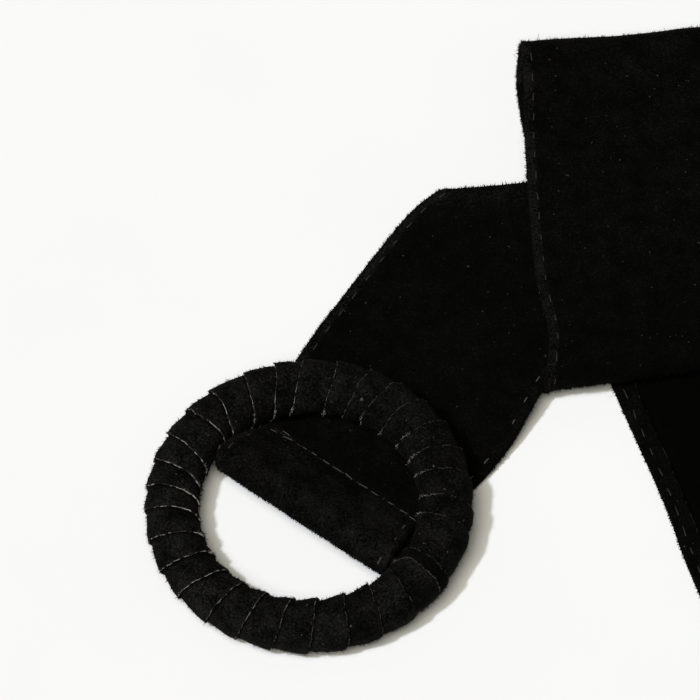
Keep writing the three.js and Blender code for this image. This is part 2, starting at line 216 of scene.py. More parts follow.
def top_layer(x, y):
    left = look_up_soft(TOP_LAYER, "y", "left", y, 6)
    right = look_up_soft(TOP_LAYER, "y", "right", y, 6)
    share = np.clip((x - TOP_FROM) / TOP_SPAN, 0, 1)
    return left * (1 - share) + right * share - HALF_THICK


def lowest_layer(x, y):
    return np.full(np.shape(x), HALF_THICK)


LAYERS = (leaving_layer, under_layer, top_layer, lowest_layer)


# %% Folding and looping
FOLD_NEAR = 30


def bowed(k, x, y):
    """Moves points near fold k out with the bow of the fold's line, which is never quite straight."""
    along, out = unit(FOLDS["along"][k]), unit(FOLDS["out"][k])
    dx, dy = x - FOLDS["x"][k], y - FOLDS["y"][k]
    u, t = dx * along[0] + dy * along[1], dx * out[0] + dy * out[1]
    move = look_up_soft(BOWS[k], "u", "out", u, 3) * np.exp(-((t / BOW_REACH) ** 2))
    return x + move * out[0], y + move * out[1]


def folded(s, v):
    """Carries flat points through the three folds, each half round a cylinder."""
    x, y = unfolded(s, v)
    z = leaving_layer(x, y)
    moving = np.ones(np.shape(x), bool)
    for k in range(len(FOLDS["s"])):
        fold = {name: column[k] for name, column in FOLDS.items()}
        along, out = unit(fold["along"]), unit(fold["out"])
        dx, dy = x - fold["x"], y - fold["y"]
        u = dx * along[0] + dy * along[1]
        line = fold["x"] + u * along[0], fold["y"] + u * along[1]
        r = np.abs(LAYERS[k + 1](*line) - LAYERS[k](*line)) / 2
        t0 = dx * out[0] + dy * out[1]
        t = t0 + r
        moving &= (t > 0) & (s + fold["skew"] * v >= fold["s"] - FOLD_NEAR)
        turn = np.clip(t / r, 0, math.pi)
        reached = -r + r * np.sin(turn) - np.maximum(0, t - math.pi * r)
        move = np.where(moving, reached - t0, 0)
        x, y = x + move * out[0], y + move * out[1]
        share = (1 - np.cos(turn)) / 2
        bent = LAYERS[k](x, y) * (1 - share) + LAYERS[k + 1](x, y) * share
        z = np.where(moving, bent, z)
        moving &= turn >= math.pi
    nearest = np.digitize(s, BOW_UNTIL)
    for k in range(len(BOWS)):
        moved_x, moved_y = bowed(k, x, y)
        x, y = np.where(nearest == k, moved_x, x), np.where(nearest == k, moved_y, y)
    return x, y, z


def looped(s, v):
    """The loop round the bar, and the loose end under the strap."""
    side = v * half_share(s, v)
    angle = math.pi / 2 - SLOPE + (LOOP_TOP - s) / LOOP_R
    flap = LOOP_END - s
    bend = np.maximum(0, flap - FLAP_FLAT)
    fall = flap * FLAP_FALL + bend * (math.tan(SLOPE) - FLAP_FALL)
    a = np.where(s > LOOP_END, LOOP_R * np.cos(angle), flap)
    z = np.where(s > LOOP_END, RING_Z + LOOP_R * np.sin(angle), RING_Z - LOOP_R - fall)
    return a * AXIS[0] + side * ACROSS[0], a * AXIS[1] + side * ACROSS[1], z


def middle(s, v):
    """A point of the belt's middle."""
    in_loop = s < LOOP_TOP
    return np.stack([np.where(in_loop, p, q) for p, q in zip(looped(s, v), folded(s, v))], -1)


def belt_frame(s, v):
    """The middle, and the unit directions along, across and up from it, read h mm around it."""
    h = 0.05
    along = middle(s + h, v) - middle(s - h, v)
    side = middle(s, v + h) - middle(s, v - h)
    up = np.cross(along, side)
    along /= np.linalg.norm(along, axis=-1, keepdims=True)
    up /= np.linalg.norm(up, axis=-1, keepdims=True)
    return middle(s, v) + (RING_X, RING_Y, 0), along, np.cross(up, along), up


def belt_point(s, v, w):
    """A point w above the middle, towards the suede face."""
    point, _, _, up = belt_frame(s, v)
    return point + up * np.reshape(w, (-1, 1))


# How far the cross lines of the grids lean: near a fold as the fold does
LEANS = table(
    "s skew",
    (34, 0),
    *(
        (FOLDS["s"][k] + past, FOLDS["skew"][k])
        for k in range(3)
        for past in (-FOLDS["before"][k] - 3, FOLDS["after"][k] + 1)
    ),
    (TIP_AT - 10, 0),
)


def leaning(s, v):
    """A place along the belt on a cross line that lies along the folds."""
    return s - look_up(LEANS, "s", "skew", s) * v


# %% [markdown]
# ## Small unevenness
# Suede is never quite flat or straight. A few slow waves, added together, give a smooth unevenness that is
# the same on every run. It is in the shape itself, so that it also shows in the mesh.


# %% Waves
def waves(a, b, size, seed, count=9):
    """A smooth unevenness of about -1 to 1. size is the length of its waves."""
    draw = random.Random(seed)
    total = np.zeros(np.broadcast(a, b).shape)
    for _ in range(count):
        turn, phase = draw.uniform(0, 2 * math.pi), draw.uniform(0, 2 * math.pi)
        rate = 2 * math.pi / (size * draw.uniform(0.7, 1.5))
        total += np.sin((a * math.cos(turn) + b * math.sin(turn)) * rate + phase)
    return total / math.sqrt(count) / 1.4


# %% [markdown]
# ## From a grid to a piece of suede
# One operator makes a flat grid. Its points are then moved to their places, and each keeps its place on the
# flat suede as a UV map, in metres, so that the materials can follow the surface. A Solidify modifier gives
# the suede its thickness, and its cut rim gets a material of its own.


# %% Grid pieces
# Within so many mm of its own cut edge a piece may be thinned
SKIVED = 1.2


def new_mesh(name, bm):
    """What was built as a mesh."""
    mesh = bpy.data.meshes.new(name)
    bm.to_mesh(mesh)
    bm.free()
    return mesh


def new_object(name, data):
    """An object in the scene, at the origin."""
    made = bpy.data.objects.new(name, data)
    bpy.context.scene.collection.objects.link(made)
    return made


def new_piece(name, mesh, materials):
    """A finished piece, which rides on the belt's one body."""
    piece = new_object(name, mesh)
    for material in materials:
        mesh.materials.append(material)
    mesh.polygons.foreach_set("use_smooth", [True] * len(mesh.polygons))
    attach(piece, "root")
    return piece


def grid(bm, rows, columns, place):
    """Adds a grid. place gives the points in mm, their flat place in mm, and how pale the nap is from
    rubbing, painted light and painted shade.
    """
    flat_layer = bm.verts.layers.float_vector.get("flat") or bm.verts.layers.float_vector.new("flat")
    rubbing_light_shade_layer = bm.verts.layers.float.get("rubbing_light_shade") or bm.verts.layers.float.new("rubbing_light_shade")
    made = bmesh.ops.create_grid(bm, x_segments=rows, y_segments=columns, size=0.5)["verts"]
    corner = np.array([vert.co for vert in made]) + 0.5
    points, flat, rubbing_light_shade = place(corner[:, 0], corner[:, 1])
    for vert, point, (a, b), value in zip(made, points * MM, flat * MM, rubbing_light_shade):
        vert.co = point
        vert[flat_layer] = (a, b, 0)
        vert[rubbing_light_shade_layer] = value


def finish_grid(bm, name, materials, thick, merge=0, thin=0, even=False):
    """Turns the grids into one piece with a UV map and a thickness that goes inwards.

    With thin, the thickness falls to this share of itself where the piece is at its own cut edge."""
    if merge:
        bmesh.ops.remove_doubles(bm, verts=bm.verts, dist=merge * MM)
    flat_layer = bm.verts.layers.float_vector["flat"]
    uv_layer = bm.loops.layers.uv.new("flat_place")
    for face in bm.faces:
        for loop in face.loops:
            loop[uv_layer].uv = loop.vert[flat_layer].xy
    shares = [min(1, vert[flat_layer].y / (SKIVED * MM)) for vert in bm.verts]
    mesh = new_mesh(name, bm)
    piece = new_piece(name, mesh, materials)
    wall = piece.modifiers.new("suede_thickness", "SOLIDIFY")
    wall.thickness = thick * MM
    wall.offset = -1
    wall.use_even_offset = even
    if thin:
        wall.vertex_group = piece.vertex_groups.new(name="thickness").name
        wall.thickness_vertex_group = thin
        for vert in mesh.vertices:
            piece.vertex_groups["thickness"].add([vert.index], shares[vert.index], "REPLACE")
    wall.material_offset_rim = len(materials) - 1
    print(name, len(mesh.polygons), "faces before thickness")
    return piece


def through(values, share):
    """Reads evenly numbered values at a share from 0 to 1."""
    values = np.asarray(values, float)
    return np.interp(share * (len(values) - 1), np.arange(len(values)), values)


# %% [markdown]
# ## Materials
# Everything here is black, and still no two finishes look alike. Suede is the flesh side of a hide, buffed
# to a short nap. It has no gloss, its fibres catch light at a grazing angle, and it marks where it is
# rubbed. Its cut edges are paler than its face. Thread is tighter and has a little shine.
# Some paleness and darkness on the suede, and the paler thread, are painted light and shade.


# %% Colours and nodes
def linear(hex_colour):
    """An sRGB hex colour as the linear colour that a shader socket takes."""
    channels = [int(hex_colour[i : i + 2], 16) / 255 for i in (1, 3, 5)]
    low_high = [c / 12.92 if c <= 0.04045 else ((c + 0.055) / 1.055) ** 2.4 for c in channels]
    return (*low_high, 1)


def add(tree, kind, settings=(), **links):
    """Adds a node. settings are its properties and plain inputs, links join other nodes to its inputs.

    Inputs have their names, or their numbers where names repeat, and then links call number 0 _0."""
    made = tree.nodes.new(kind)
    for name, value in dict(settings).items():
        if isinstance(name, str) and hasattr(made, name):
            setattr(made, name, value)
        else:
            made.inputs[name].default_value = value
    for name, source in links.items():
        socket = int(name[1:]) if name[1:].isdigit() else name.replace("_", " ")
        tree.links.new(source, made.inputs[socket])
    return made


def new_material(name):
    """An empty material and its node tree, with the shader joined to the output."""
    material = bpy.data.materials.new(name)
    material.use_nodes = True
    tree = material.node_tree
    tree.nodes.clear()
    shader = add(tree, "ShaderNodeBsdfPrincipled")
    add(tree, "ShaderNodeOutputMaterial", Surface=shader.outputs["BSDF"])
    return material, tree, shader


def set_shader(tree, shader, colour, bump, settings):
    """Joins a colour and a bump to the shader, and sets its plain inputs."""
    tree.links.new(colour, shader.inputs["Base Color"])
    tree.links.new(bump, shader.inputs["Normal"])
    for socket, value in settings.items():
        shader.inputs[socket].default_value = value


def per_mm(size):
    """The scale of a texture in metres whose features are this many millimetres wide."""
    return 1 / (size * MM)


# %% Suede
def ramp(tree, source, low, high, at_low=0.0, at_high=1.0):
    """Spreads the values from low to high over a new range."""
    settings = {"From Min": low, "From Max": high, "To Min": at_low, "To Max": at_high}
    return add(tree, "ShaderNodeMapRange", settings, Value=source).outputs[0]


def maths(tree, operation, first, second, **settings):
    """One sum. Both parts are outputs of other nodes, or plain numbers."""
    made = add(tree, "ShaderNodeMath", {"operation": operation, **settings})
    for socket, part in zip(made.inputs, (first, second)):
        if isinstance(part, (int, float)):
            socket.default_value = part
        else:
            tree.links.new(part, socket)
    return made.outputs[0]


def blend(tree, share, colour, hex_colour):
    """Mixes a plain colour into the colour so far."""
    settings = {"data_type": "RGBA", 7: linear(hex_colour)}
    return add(tree, "ShaderNodeMix", settings, _0=share, _6=colour).outputs[2]


def grain(tree, place, size, detail=2.0):
    """A noise whose spots are about this many millimetres wide."""
    settings = {"Scale": per_mm(size), "Detail": detail}
    return add(tree, "ShaderNodeTexNoise", settings, Vector=place).outputs["Fac"]


def cut_share(tree, place, nap, raw_width, broken_size):
    """How far the raw colour shows: in spots, up to raw_width mm from a cut edge."""
    flat = add(tree, "ShaderNodeUVMap", {"uv_map": "flat_place"}).outputs["UV"]
    across = add(tree, "ShaderNodeSeparateXYZ", Vector=flat).outputs["Y"]
    ragged = maths(tree, "MULTIPLY", maths(tree, "SUBTRACT", nap, 0.5), raw_width * MM)
    rim = ramp(tree, maths(tree, "ADD", across, ragged), 0.0, raw_width * MM, 1.0, 0.0)
    rubbed_off = ramp(tree, grain(tree, place, 7), 0.4, 0.6, 0.7, 1.0)
    spots = ramp(tree, grain(tree, place, broken_size), 0.5, 0.57)
    return maths(tree, "MULTIPLY", rim, maths(tree, "MULTIPLY", spots, rubbed_off))


def suede_material(name, dark, light, tip, raw, raw_width, broken_size, sheen):
    """Suede: a mottled nap from dark to light, with paler fibre tips, and raw colour at its cut edges."""
    material, tree, shader = new_material(name)
    place = add(tree, "ShaderNodeTexCoord").outputs["Object"]
    rubbing_light_shade = add(tree, "ShaderNodeAttribute", {"attribute_name": "rubbing_light_shade"}).outputs["Fac"]
    nap = grain(tree, place, 0.5, 4.0)
    rubbed = ramp(tree, grain(tree, place, 4, 4.0), 0.0, 1.0, 0.1, 0.9)
    both = maths(tree, "ADD", nap, rubbed)
    # The mottle is scaled by the attribute that holds rubbing, painted light and painted shade.
    mottled = maths(tree, "MULTIPLY", ramp(tree, both, 0.83, 1.25), rubbing_light_shade)
    settings = {"data_type": "RGBA", "clamp_factor": False, 6: linear(dark), 7: linear(light)}
    base = add(tree, "ShaderNodeMix", settings, _0=mottled).outputs[2]
    tips = ramp(tree, grain(tree, place, 0.42), 0.5, 0.76)
    colour = blend(tree, maths(tree, "MULTIPLY", tips, mottled, use_clamp=True), base, tip)
    dust = ramp(tree, grain(tree, place, 0.8, 1.0), 0.76, 0.785, 0.0, 0.7)
    colour = blend(tree, dust, colour, raw)
    colour = blend(tree, cut_share(tree, place, nap, raw_width, broken_size), colour, raw)
    bump = add(tree, "ShaderNodeBump", {"Strength": 0.7, "Distance": 0.15 * MM}, Height=both)
    settings = {"Sheen Weight": sheen, "Sheen Roughness": 0.45, "Sheen Tint": linear("#fff6e8")}
    set_shader(tree, shader, colour, bump.outputs[0], {"Specular IOR Level": 0.02, **settings})
    tree.links.new(ramp(tree, nap, 0.0, 1.0, 0.88, 1.0), shader.inputs["Roughness"])
    return material


# The strap's face is brushed flat. On the wound strip the nap stands up, and a cut shows the paler inside.
strap_suede = suede_material("strap_suede", "#030302", "#080807", "#161513", "#3a3936", 0.25, 2.2, 0.004)
wound_suede = suede_material("wound_suede", "#030303", "#131311", "#282723", "#504f4b", 0.14, 1.2, 0.006)
raw_edge = suede_material("raw_suede_edge", "#0e0e0d", "#1f1f1d", "#4b4a46", "#aaa69e", 0.5, 1.1, 0.006)
print("suedes:", strap_suede.name, wound_suede.name, raw_edge.name)


# %% Thread, fibre, backing and alloy
def grained_material(name, dark, light, noise, strength, depth, settings):
    """Two colours in a grain, and a bump of depth mm from it. noise is the grain's size and detail."""
    material, tree, shader = new_material(name)
    spots = grain(tree, add(tree, "ShaderNodeTexCoord").outputs["Object"], *noise)
    colour = add(tree, "ShaderNodeMix", {"data_type": "RGBA", 6: dark, 7: light}, _0=spots)
    bump = add(tree, "ShaderNodeBump", {"Strength": strength, "Distance": depth * MM}, Height=spots)
    set_shader(tree, shader, colour.outputs[2], bump.outputs[0], settings)
    return material


def fibre_material(name, hex_colour, shine, roughness):
    """Loose fibre or thread: one colour with a fine twist of light and dark."""
    light = linear(hex_colour)
    dark = (light[0] * 0.3, light[1] * 0.3, light[2] * 0.3, 1)
    settings = {"Roughness": roughness, "Specular IOR Level": shine}
    return grained_material(name, dark, light, (0.3, 1.0), 0.4, 0.05, settings)


def smooth_material(name, dark, light, size, settings):
    """A smooth finish in two close colours."""
    return grained_material(name, linear(dark), linear(light), (size, 2.0), 0.3, 0.03, settings)


thread = fibre_material("polyester_thread", "#383734", 0.15, 0.5)
# Painted highlight: this paler copy of the black thread stands in for the highlights on the dashes of two
# seams.
highlit_thread = fibre_material("thread_painted_highlight", "#5c5a56", 0.1, 0.6)
nap_fibre = fibre_material("strap_nap_fibre", "#100f0e", 0.03, 0.8)
wound_fibre = fibre_material("winding_nap_fibre", "#201f1d", 0.03, 0.8)
edge_fibre = fibre_material("cut_edge_fibre", "#65635e", 0.05, 0.8)
lint_fibre = fibre_material("lint", "#bdbab2", 0.05, 0.8)
backing_finish = smooth_material(
    "smooth_backing", "#020202", "#040403", 0.8, {"Roughness": 0.8, "Specular IOR Level": 0.01}
)
alloy = smooth_material("cast_zinc_alloy", "#242321", "#32312e", 1.2, {"Roughness": 0.6, "Metallic": 1.0})
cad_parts["buckle_frame"].data.materials.clear()
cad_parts["buckle_frame"].data.materials.append(alloy)
print("materials:", len(bpy.data.materials))

# %% [markdown]
# ## The strap
# On the real belt one wide piece of suede makes the face, and both its edges are turned to the back and
# sewn down as hems. So one grid goes from the raw edge of the right hem, round the right edge, over the
# face and round the left edge to the raw edge of the left hem. A second grid turns the tip under.

# %% How the strap runs
# The edge seams are at STITCH_V, and from ROUND_FROM on the suede goes round the edge
STITCH_V = 23.0
EDGE_R = HALF_THICK
ROUND_FROM = HALF_WIDTH - EDGE_R
EDGE_STEPS, HEM_STEPS, FACE_STEPS = 8, 5, 36
FACE_UP_UNTIL = 245
# How pale the nap is along the middle, and what is added to that on the edges and beside the loop
# Painted light: the left edge gets more than the right, because it faces the lamp on the left.
LEFT_EDGE_RUBBING_AND_LIGHT, RIGHT_EDGE_WEAR, BUNCHED_WEAR = 4.2, 1.2, 1.3
# Painted light: the loop is paler up to its seam, where it faces the lamp, and past the seam it falls to
# the strap's own level.
RUBBING_AND_LIGHT_ALONG = table(
    "s wear",
    (-25, 2.4), (-6, 2.9), (9, 2.7), (12, 0.9), (30, 0.55), (80, 0.55), (90, 0.7), (94, 2.4),
    (99, 2.4), (104, 0.8), (150, 0.4), (160, 0.55), (175, 0.8), (233, 1.1), (258, 0.9),
)


def stops(*runs):
    """Places from run to run, each run given as where it ends and how long its steps are."""
    places = [runs[0][0]]
    for end, step in runs[1:]:
        count = max(1, round((end - places[-1]) / step))
        places += list(np.linspace(places[-1], end, count + 1)[1:])
    return places


# Longer steps up to each fold and short ones round it
FOLD_RUNS = [
    run
    for k in range(3)
    for run in (
        (FOLDS["s"][k] - FOLDS["before"][k] - 2, 1.25),
        (FOLDS["s"][k] + FOLDS["after"][k] + 1, 0.35),
    )
]
LOOP_RUNS = ((LOOP_END - FLAP_END, 0), (LOOP_END, 0.9), (LOOP_TOP, 0.5), (36, 0.8))
STRAP_STOPS = stops(*LOOP_RUNS, *FOLD_RUNS, (TIP_AT - EDGE_R, 1.4))
print("steps along the strap:", len(STRAP_STOPS) - 1)


def outline():
    """The outline across the strap as v and w, from hem to hem over the face."""
    hem = np.linspace(HALF_WIDTH - HEM, ROUND_FROM, HEM_STEPS + 1)[:-1]
    bend = np.linspace(-math.pi / 2, math.pi / 2, EDGE_STEPS + 1)
    face = np.linspace(-ROUND_FROM, ROUND_FROM, FACE_STEPS + 1)[1:-1]
    edge_v, edge_w = ROUND_FROM + EDGE_R * np.cos(bend), EDGE_R * np.sin(bend)
    v = np.concatenate([-hem, -edge_v, face, edge_v[::-1], hem[::-1]])
    w = np.concatenate([hem * 0 - EDGE_R, edge_w, face * 0 + EDGE_R, edge_w[::-1], hem * 0 - EDGE_R])
    return v, w


def face_height(s, v, w):
    """How far the surface stands from the middle: sewn in along the stitches, and a little uneven."""
    near_stitch = np.exp(-(((np.abs(v) - STITCH_V) / 0.5) ** 2))
    groove = np.where(w > 0, 0.2, 0.05) * near_stitch
    uneven = 0.06 * (waves(s, v, 9, 3) - 1) * np.where(w > 0, 1, 0.3)
    return w + np.where(np.abs(w) > EDGE_R * 0.9, np.sign(w) * (uneven - groove), 0)


def wear(stop, s, v):
    """How pale the nap is, from rubbing and painted light. stop is the place of the cross line, s the
    point's own.
    """
    along = look_up_soft(RUBBING_AND_LIGHT_ALONG, "s", "wear", stop, 1.5)
    on_edge = np.clip((np.abs(v) - STITCH_V) / 0.8, 0, 1) * (s < FACE_UP_UNTIL)
    on_edge = np.where(v > 0, LEFT_EDGE_RUBBING_AND_LIGHT, RIGHT_EDGE_WEAR) * on_edge
    bunched = BUNCHED_WEAR * np.clip((-v - 8) / 6, 0, 1) * np.clip((12 - s) / 4, 0, 1)
    return along * (1 + 0.15 * waves(s, v, 22, 5)) + on_edge + bunched


# %% The suede of the strap
OUT_V, OUT_W = outline()
FLAT_T = np.concatenate([[0], np.cumsum(np.hypot(np.diff(OUT_V), np.diff(OUT_W)))])


def strap_place(a, b):
    """The outer side of the suede, from the loose end to the tip and from hem to hem."""
    stop = through(STRAP_STOPS, a)
    v, w, t = through(OUT_V, b), through(OUT_W, b), through(FLAT_T, b)
    on_hem = (w < -0.9 * EDGE_R) & (np.abs(v) < ROUND_FROM)
    uneven = np.sign(v) * 0.25 * waves(stop, v * 0, 6, 7) * (ROUND_FROM - np.abs(v)) / HEM
    v = v + np.where(on_hem, uneven, 0)
    s = leaning(stop, v)
    points = belt_point(s, v, face_height(s, v, w))
    from_raw = np.minimum(t, FLAT_T[-1] - t)
    return points, np.stack([s, from_raw], -1), wear(stop, s, v)


TIP_TURN = np.concatenate([np.linspace(math.pi / 2, -math.pi / 2, 9), [-2, -3, -4]])
FAR_FROM_RAW = 9.0


def tip_place(a, b):
    """The turned end: a half round of the suede's thickness, then flat under the tip."""
    turn = through(TIP_TURN, a)
    under = np.maximum(0, -turn - 1.6)
    v = np.linspace(-ROUND_FROM, ROUND_FROM, FACE_STEPS + 1)
    v = through(v, b) * np.where(turn < -0.5, 0.82, 1 - 0.18 * np.clip(1 - turn, 0, 1.5) / 1.5)
    curve = np.clip(turn, -math.pi / 2, math.pi / 2)
    s = TIP_AT - EDGE_R + EDGE_R * np.cos(curve) - under * 1.5
    w = face_height(s, v, EDGE_R * np.sin(curve))
    return belt_point(s, v, w), np.stack([s, np.full(len(s), FAR_FROM_RAW)], -1), wear(s, s, v)


body = bmesh.new()
grid(body, len(STRAP_STOPS) - 1, len(OUT_V) - 1, strap_place)
grid(body, len(TIP_TURN) - 1, FACE_STEPS, tip_place)
strap = finish_grid(body, "suede_strap", [strap_suede, raw_edge], SUEDE, merge=0.01)
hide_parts("strap")

# %% [markdown]
# ## The backing
# Between the two hems the back is covered by a smooth panel. The photo shows it on the lowest layer only.
# It is a plain grid with its face turned down, a little lower than the hems so that their raw edges show.

# %% The backing panel
BACK_HALF = HALF_WIDTH - HEM - 0.3
BACK_W = -0.98
BACK_STOPS = stops((BACKING_AT, 0), *FOLD_RUNS, (TIP_AT - HEM - 0.3, 2))


def backing_place(a, b):
    """The lower side of the panel, which is at BACK_W under the strap's middle."""
    stop = through(BACK_STOPS, a)
    v = (0.5 - b) * 2 * BACK_HALF
    s = leaning(stop, v)
    w = BACK_W + 0.05 * waves(s, v, 14, 11)
    return belt_point(s, v, w), np.stack([s, v], -1), v * 0 + 1


body = bmesh.new()
grid(body, len(BACK_STOPS) - 1, 18, backing_place)
backing = finish_grid(body, "backing_panel", [backing_finish], 0.8)
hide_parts("strap_backing")

# %% [markdown]
# ## The winding
# One strip of suede is wound 30 times round the ring. Each turn lies over the start of the next one, and
# its cut edge makes a small step. The table has where each edge crosses the outer side, the top and the
# inner side of the ring, because hand winding is uneven and every turn has a width of its own.

# %% The cut edges of the turns
EDGES = table(
    "outer top inner",
    (8.5, 10.8, 15.7), (20.3, 21.7, 25.5), (32.9, 33.3, 37), (43.9, 45.6, 49.3), (54.3, 56.7, 62.2),
    (65.9, 67.4, 71.6), (78.6, 79, 81.9), (91.1, 93.4, 99.6), (101.4, 103.3, 108.9),
    (112.8, 115.7, 120.4), (127.5, 129.3, 134.1), (138.6, 140, 138.4), (149, 154.1, 159.5),
    (160.4, 165.4, 170.6), (171.4, 175.7, 178.7), (180.9, 185.5, 188.7), (193, 198.1, 201.1),
    (205.7, 210.5, 211.8), (217.3, 222.5, 225.4), (231.4, 234.7, 236.8), (243.9, 247.4, 249.6),
    (257.2, 260.4, 263.7), (270.1, 272.6, 275.6), (284, 285.6, 289.6), (296.4, 298.4, 303),
    (310.2, 311.6, 316.8), (323, 323, 317.6), (327.8, 328.5, 330), (346.9, 348, 353.2),
    (356, 357.9, 362),
)
TURNS = len(EDGES["outer"])
# The strip rises from STRIP_LOW, where the turn before covers it by OVERLAP, to STRIP_HIGH at its cut edge
STRIP_THICK, STRIP_LOW, STRIP_HIGH = 0.5, 5.25, 5.8
GIRTH, OVERLAP = 34, 3.2
LAST_TURN = 26
# Places along the strip in turns, with the angle of the cut edge there
KNOTS = [
    (turn + part, EDGES[side][turn])
    for turn in range(TURNS)
    for part, side in ((0, "outer"), (0.25, "top"), (0.5, "inner"))
]
# The turn that was wound last ends in a round tongue, which keeps its width nearly to the inner side
KNOTS[LAST_TURN * 3 + 2 : LAST_TURN * 3 + 2] = [(LAST_TURN + 0.37, 324), (LAST_TURN + 0.41, 317.8)]
CYCLE = table("p deg", *((p + lap * TURNS, deg + lap * 360) for lap in (-1, 0, 1) for p, deg in KNOTS))
print("turns:", TURNS)


def cut_edge(p):
    """The angle of the cut edge p turns along the strip. A whole number is on the ring's outer side."""
    return look_up_soft(CYCLE, "p", "deg", p, 0.05)


def ring_place(theta, phi, r):
    """A point r from the middle of the ring's tube, on the tilted ring, in mm. The surface flattens it."""
    out = RING_R + r * np.cos(phi)
    flat = np.stack([out * np.cos(theta), out * np.sin(theta), r * np.sin(phi)], -1)
    tilt = np.array(Matrix.Rotation(rad(TILT), 3, Vector((-ACROSS[0], -ACROSS[1], 0))))
    place = flat @ tilt.T + (RING_X, RING_Y, RING_Z)
    place[:, 2] = np.maximum(place[:, 2], 0.02)
    return place


# %% The strip
# Most of the steps across the strip are on its seen part
ACROSS_STEPS, TURN_STEPS, SEEN_STEPS = 14, 80, 0.88


def strip_surface(p, q):
    """The strip p turns along, at q across it: 0 at the edge of the turn before, 1 at its own cut edge."""
    before, own = cut_edge(p - 1), cut_edge(p)
    width = np.maximum(own - before, 0.8)
    hidden = np.minimum(OVERLAP, 0.45 * width)
    theta = np.where(q < 0, before + q * hidden, before + q * (own - before))
    full = 1 - hidden / width
    rise = np.clip(q / np.maximum(full, 0.05), 0, 1)
    lift = 0.08 * np.clip((q - 0.9) / 0.1, 0, 1) ** 2
    seen = np.clip(q * 4, 0, 1)
    wrinkle = 0.07 * waves(p * GIRTH, q * 6, 3.5, 21) + 0.08 * waves(p * GIRTH, q * 2, 14, 23)
    wrinkle = (wrinkle + 0.06 * waves(p * GIRTH, q * 6, 1.4, 22)) * seen
    r = STRIP_LOW + (STRIP_HIGH - STRIP_LOW) * rise**1.3 + lift + wrinkle * 0.8
    ragged = 0.35 * waves(p * GIRTH, p * 0, 5, 25) + 0.2 * waves(p * GIRTH, p * 0, 1.5, 26)
    theta = theta + ragged * np.clip(q, 0, 1)
    return np.radians(theta), 2 * math.pi * p, r


def winding_place(a, b):
    """The strip's outer side, with painted shade beside the covering edge and behind the tongue, and
    painted light on the left.
    """
    p = (a * TURNS) % TURNS
    q = np.interp(b, [0, SEEN_STEPS, 1], [1, 0, -1])
    theta, phi, r = strip_surface(p, q)
    width = np.radians(np.abs(cut_edge(p) - cut_edge(p - 1))) * RING_R
    flat = np.stack([p * GIRTH, (1 - q) * width], -1)
    rubbing_light_shade = 1 + 0.25 * waves(p * GIRTH, q * 5, 9, 27) + 0.2 * waves(p * 3, q * 0, 4, 29)
    # Painted shade: darker just beside the edge of the turn that covers it, as in the shadow of its step.
    rubbing_light_shade = rubbing_light_shade * (1 - 0.8 * np.exp(-((np.maximum(q, 0) * width / 0.5) ** 2)))
    # Painted shadow: the turn behind the tongue is darker, as in the tongue's shadow.
    tongue_shadow = np.exp(-(((p - LAST_TURN - 1.1) / 0.25) ** 2))
    # Painted light and shade: paler on the ring's left side, towards the lamp, and darker on its right.
    rubbing_light_shade = rubbing_light_shade * (1 - 0.8 * tongue_shadow) * (1 - 0.2 * np.cos(theta))
    return ring_place(theta, phi, r), flat, rubbing_light_shade


body = bmesh.new()
grid(body, TURNS * TURN_STEPS, ACROSS_STEPS, winding_place)
finishes = [wound_suede, raw_edge]
winding = finish_grid(body, "ring_winding", finishes, STRIP_THICK, merge=0.001, thin=0.5, even=True)
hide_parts("ring_wrap")

# %% [markdown]
# ## Many small things
# Stitches and nap are one small shape, repeated thousands of times. Geometry nodes place a copy of it on
# each point, turned and sized by that point's own values, and the result is kept as one plain mesh.


# %% Scattering
def scatter(name, copied, places, turns, sizes, material):
    """One piece with a copy at each place in mm, with a quaternion and a size in mm for each."""
    seeds = bpy.data.meshes.new(name + "_places")
    seeds.vertices.add(len(places))
    seeds.vertices.foreach_set("co", np.asarray(places, np.float32).ravel() * MM)
    turn_data = seeds.attributes.new("turn", "QUATERNION", "POINT").data
    turn_data.foreach_set("value", np.asarray(turns, np.float32).ravel())
    size_data = seeds.attributes.new("size", "FLOAT_VECTOR", "POINT").data
    size_data.foreach_set("vector", np.asarray(sizes, np.float32).ravel() * MM)
    holder = new_object(name + "_places", seeds)
    tree = bpy.data.node_groups.new(name, "GeometryNodeTree")
    tree.interface.new_socket("Geometry", in_out="INPUT", socket_type="NodeSocketGeometry")
    tree.interface.new_socket("Geometry", in_out="OUTPUT", socket_type="NodeSocketGeometry")
    points = add(tree, "NodeGroupInput")
    shape = add(tree, "GeometryNodeObjectInfo", {"Object": copied})
    turn = add(tree, "GeometryNodeInputNamedAttribute", {"data_type": "QUATERNION", "Name": "turn"})
    size = add(tree, "GeometryNodeInputNamedAttribute", {"data_type": "FLOAT_VECTOR", "Name": "size"})
    copies = add(
        tree,
        "GeometryNodeInstanceOnPoints",
        Points=points.outputs[0],
        Instance=shape.outputs["Geometry"],
        Rotation=turn.outputs["Attribute"],
        Scale=size.outputs["Attribute"],
    )
    real = add(tree, "GeometryNodeRealizeInstances", Geometry=copies.outputs[0])
    add(tree, "NodeGroupOutput", Geometry=real.outputs[0])
    holder.modifiers.new("copies", "NODES").node_group = tree
    bpy.context.view_layer.update()
    made = holder.evaluated_get(bpy.context.evaluated_depsgraph_get())
    mesh = bpy.data.meshes.new_from_object(made)
    mesh.name = name
    bpy.data.objects.remove(holder)
    bpy.data.node_groups.remove(tree)
    mesh.materials.clear()
    piece = new_piece(name, mesh, [material])
    print(name, len(places), "copies,", len(mesh.polygons), "faces")


def turns_of(x_axes, z_axes):
    """Quaternions that turn X and Z to the given directions."""
    result = []
    for x_axis, z_axis in zip(x_axes, z_axes):
        z = Vector(z_axis).normalized()
        y = z.cross(Vector(x_axis)).normalized()
        result.append(Matrix((y.cross(z), y, z)).transposed().to_quaternion())
    return result


